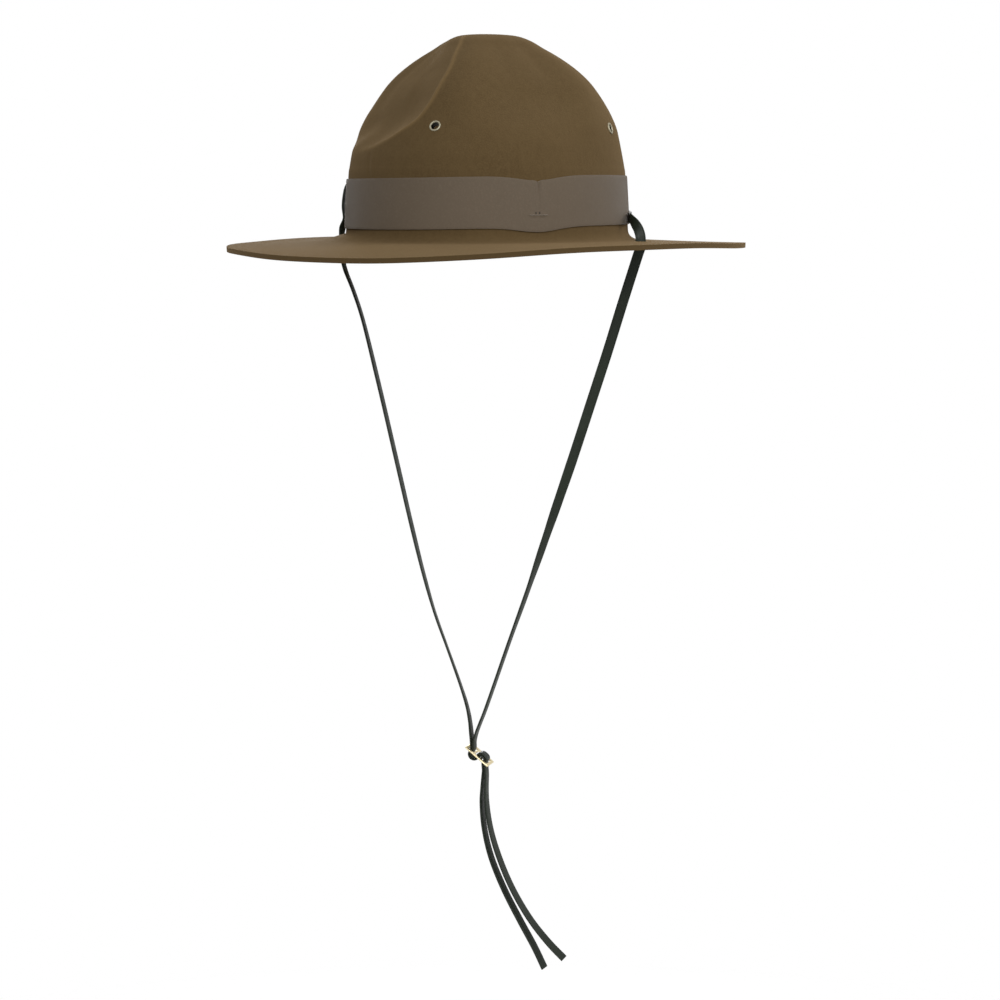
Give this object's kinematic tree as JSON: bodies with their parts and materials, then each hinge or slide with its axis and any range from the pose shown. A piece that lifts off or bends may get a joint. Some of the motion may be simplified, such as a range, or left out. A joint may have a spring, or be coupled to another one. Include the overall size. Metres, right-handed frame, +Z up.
{
  "type": "campaign hat",
  "caption": "Stiff felt campaign hat with a peaked, dented crown, wide flat brim, ribbon band, vent eyelets and a leather chin strap hanging in a brass slide.",
  "frame": {"origin": "centre of the head opening, level with the underside of the brim where it meets the crown", "axes": "+Z up through the crown, -Y the way the wearer faces, +X the wearer's left"},
  "size_m": [0.3232, 0.3568, 0.5978],
  "materials": {
    "felt": "matt brown fur felt",
    "ribbon": "ribbed grey-brown grosgrain",
    "eyelet_metal": "dull metal",
    "strap_leather": "dark smooth leather, slight sheen",
    "slide_brass": "polished brass"
  },
  "bodies": {
    "root": {"felt_body": "felt", "hatband": "ribbon", "eyelet_front": "eyelet_metal", "eyelet_left": "eyelet_metal", "eyelet_back": "eyelet_metal", "eyelet_right": "eyelet_metal", "chin_strap_back": "strap_leather", "chin_strap_left": "strap_leather", "chin_strap_right": "strap_leather", "strap_slide": "slide_brass"}
  },
  "joints": []
}
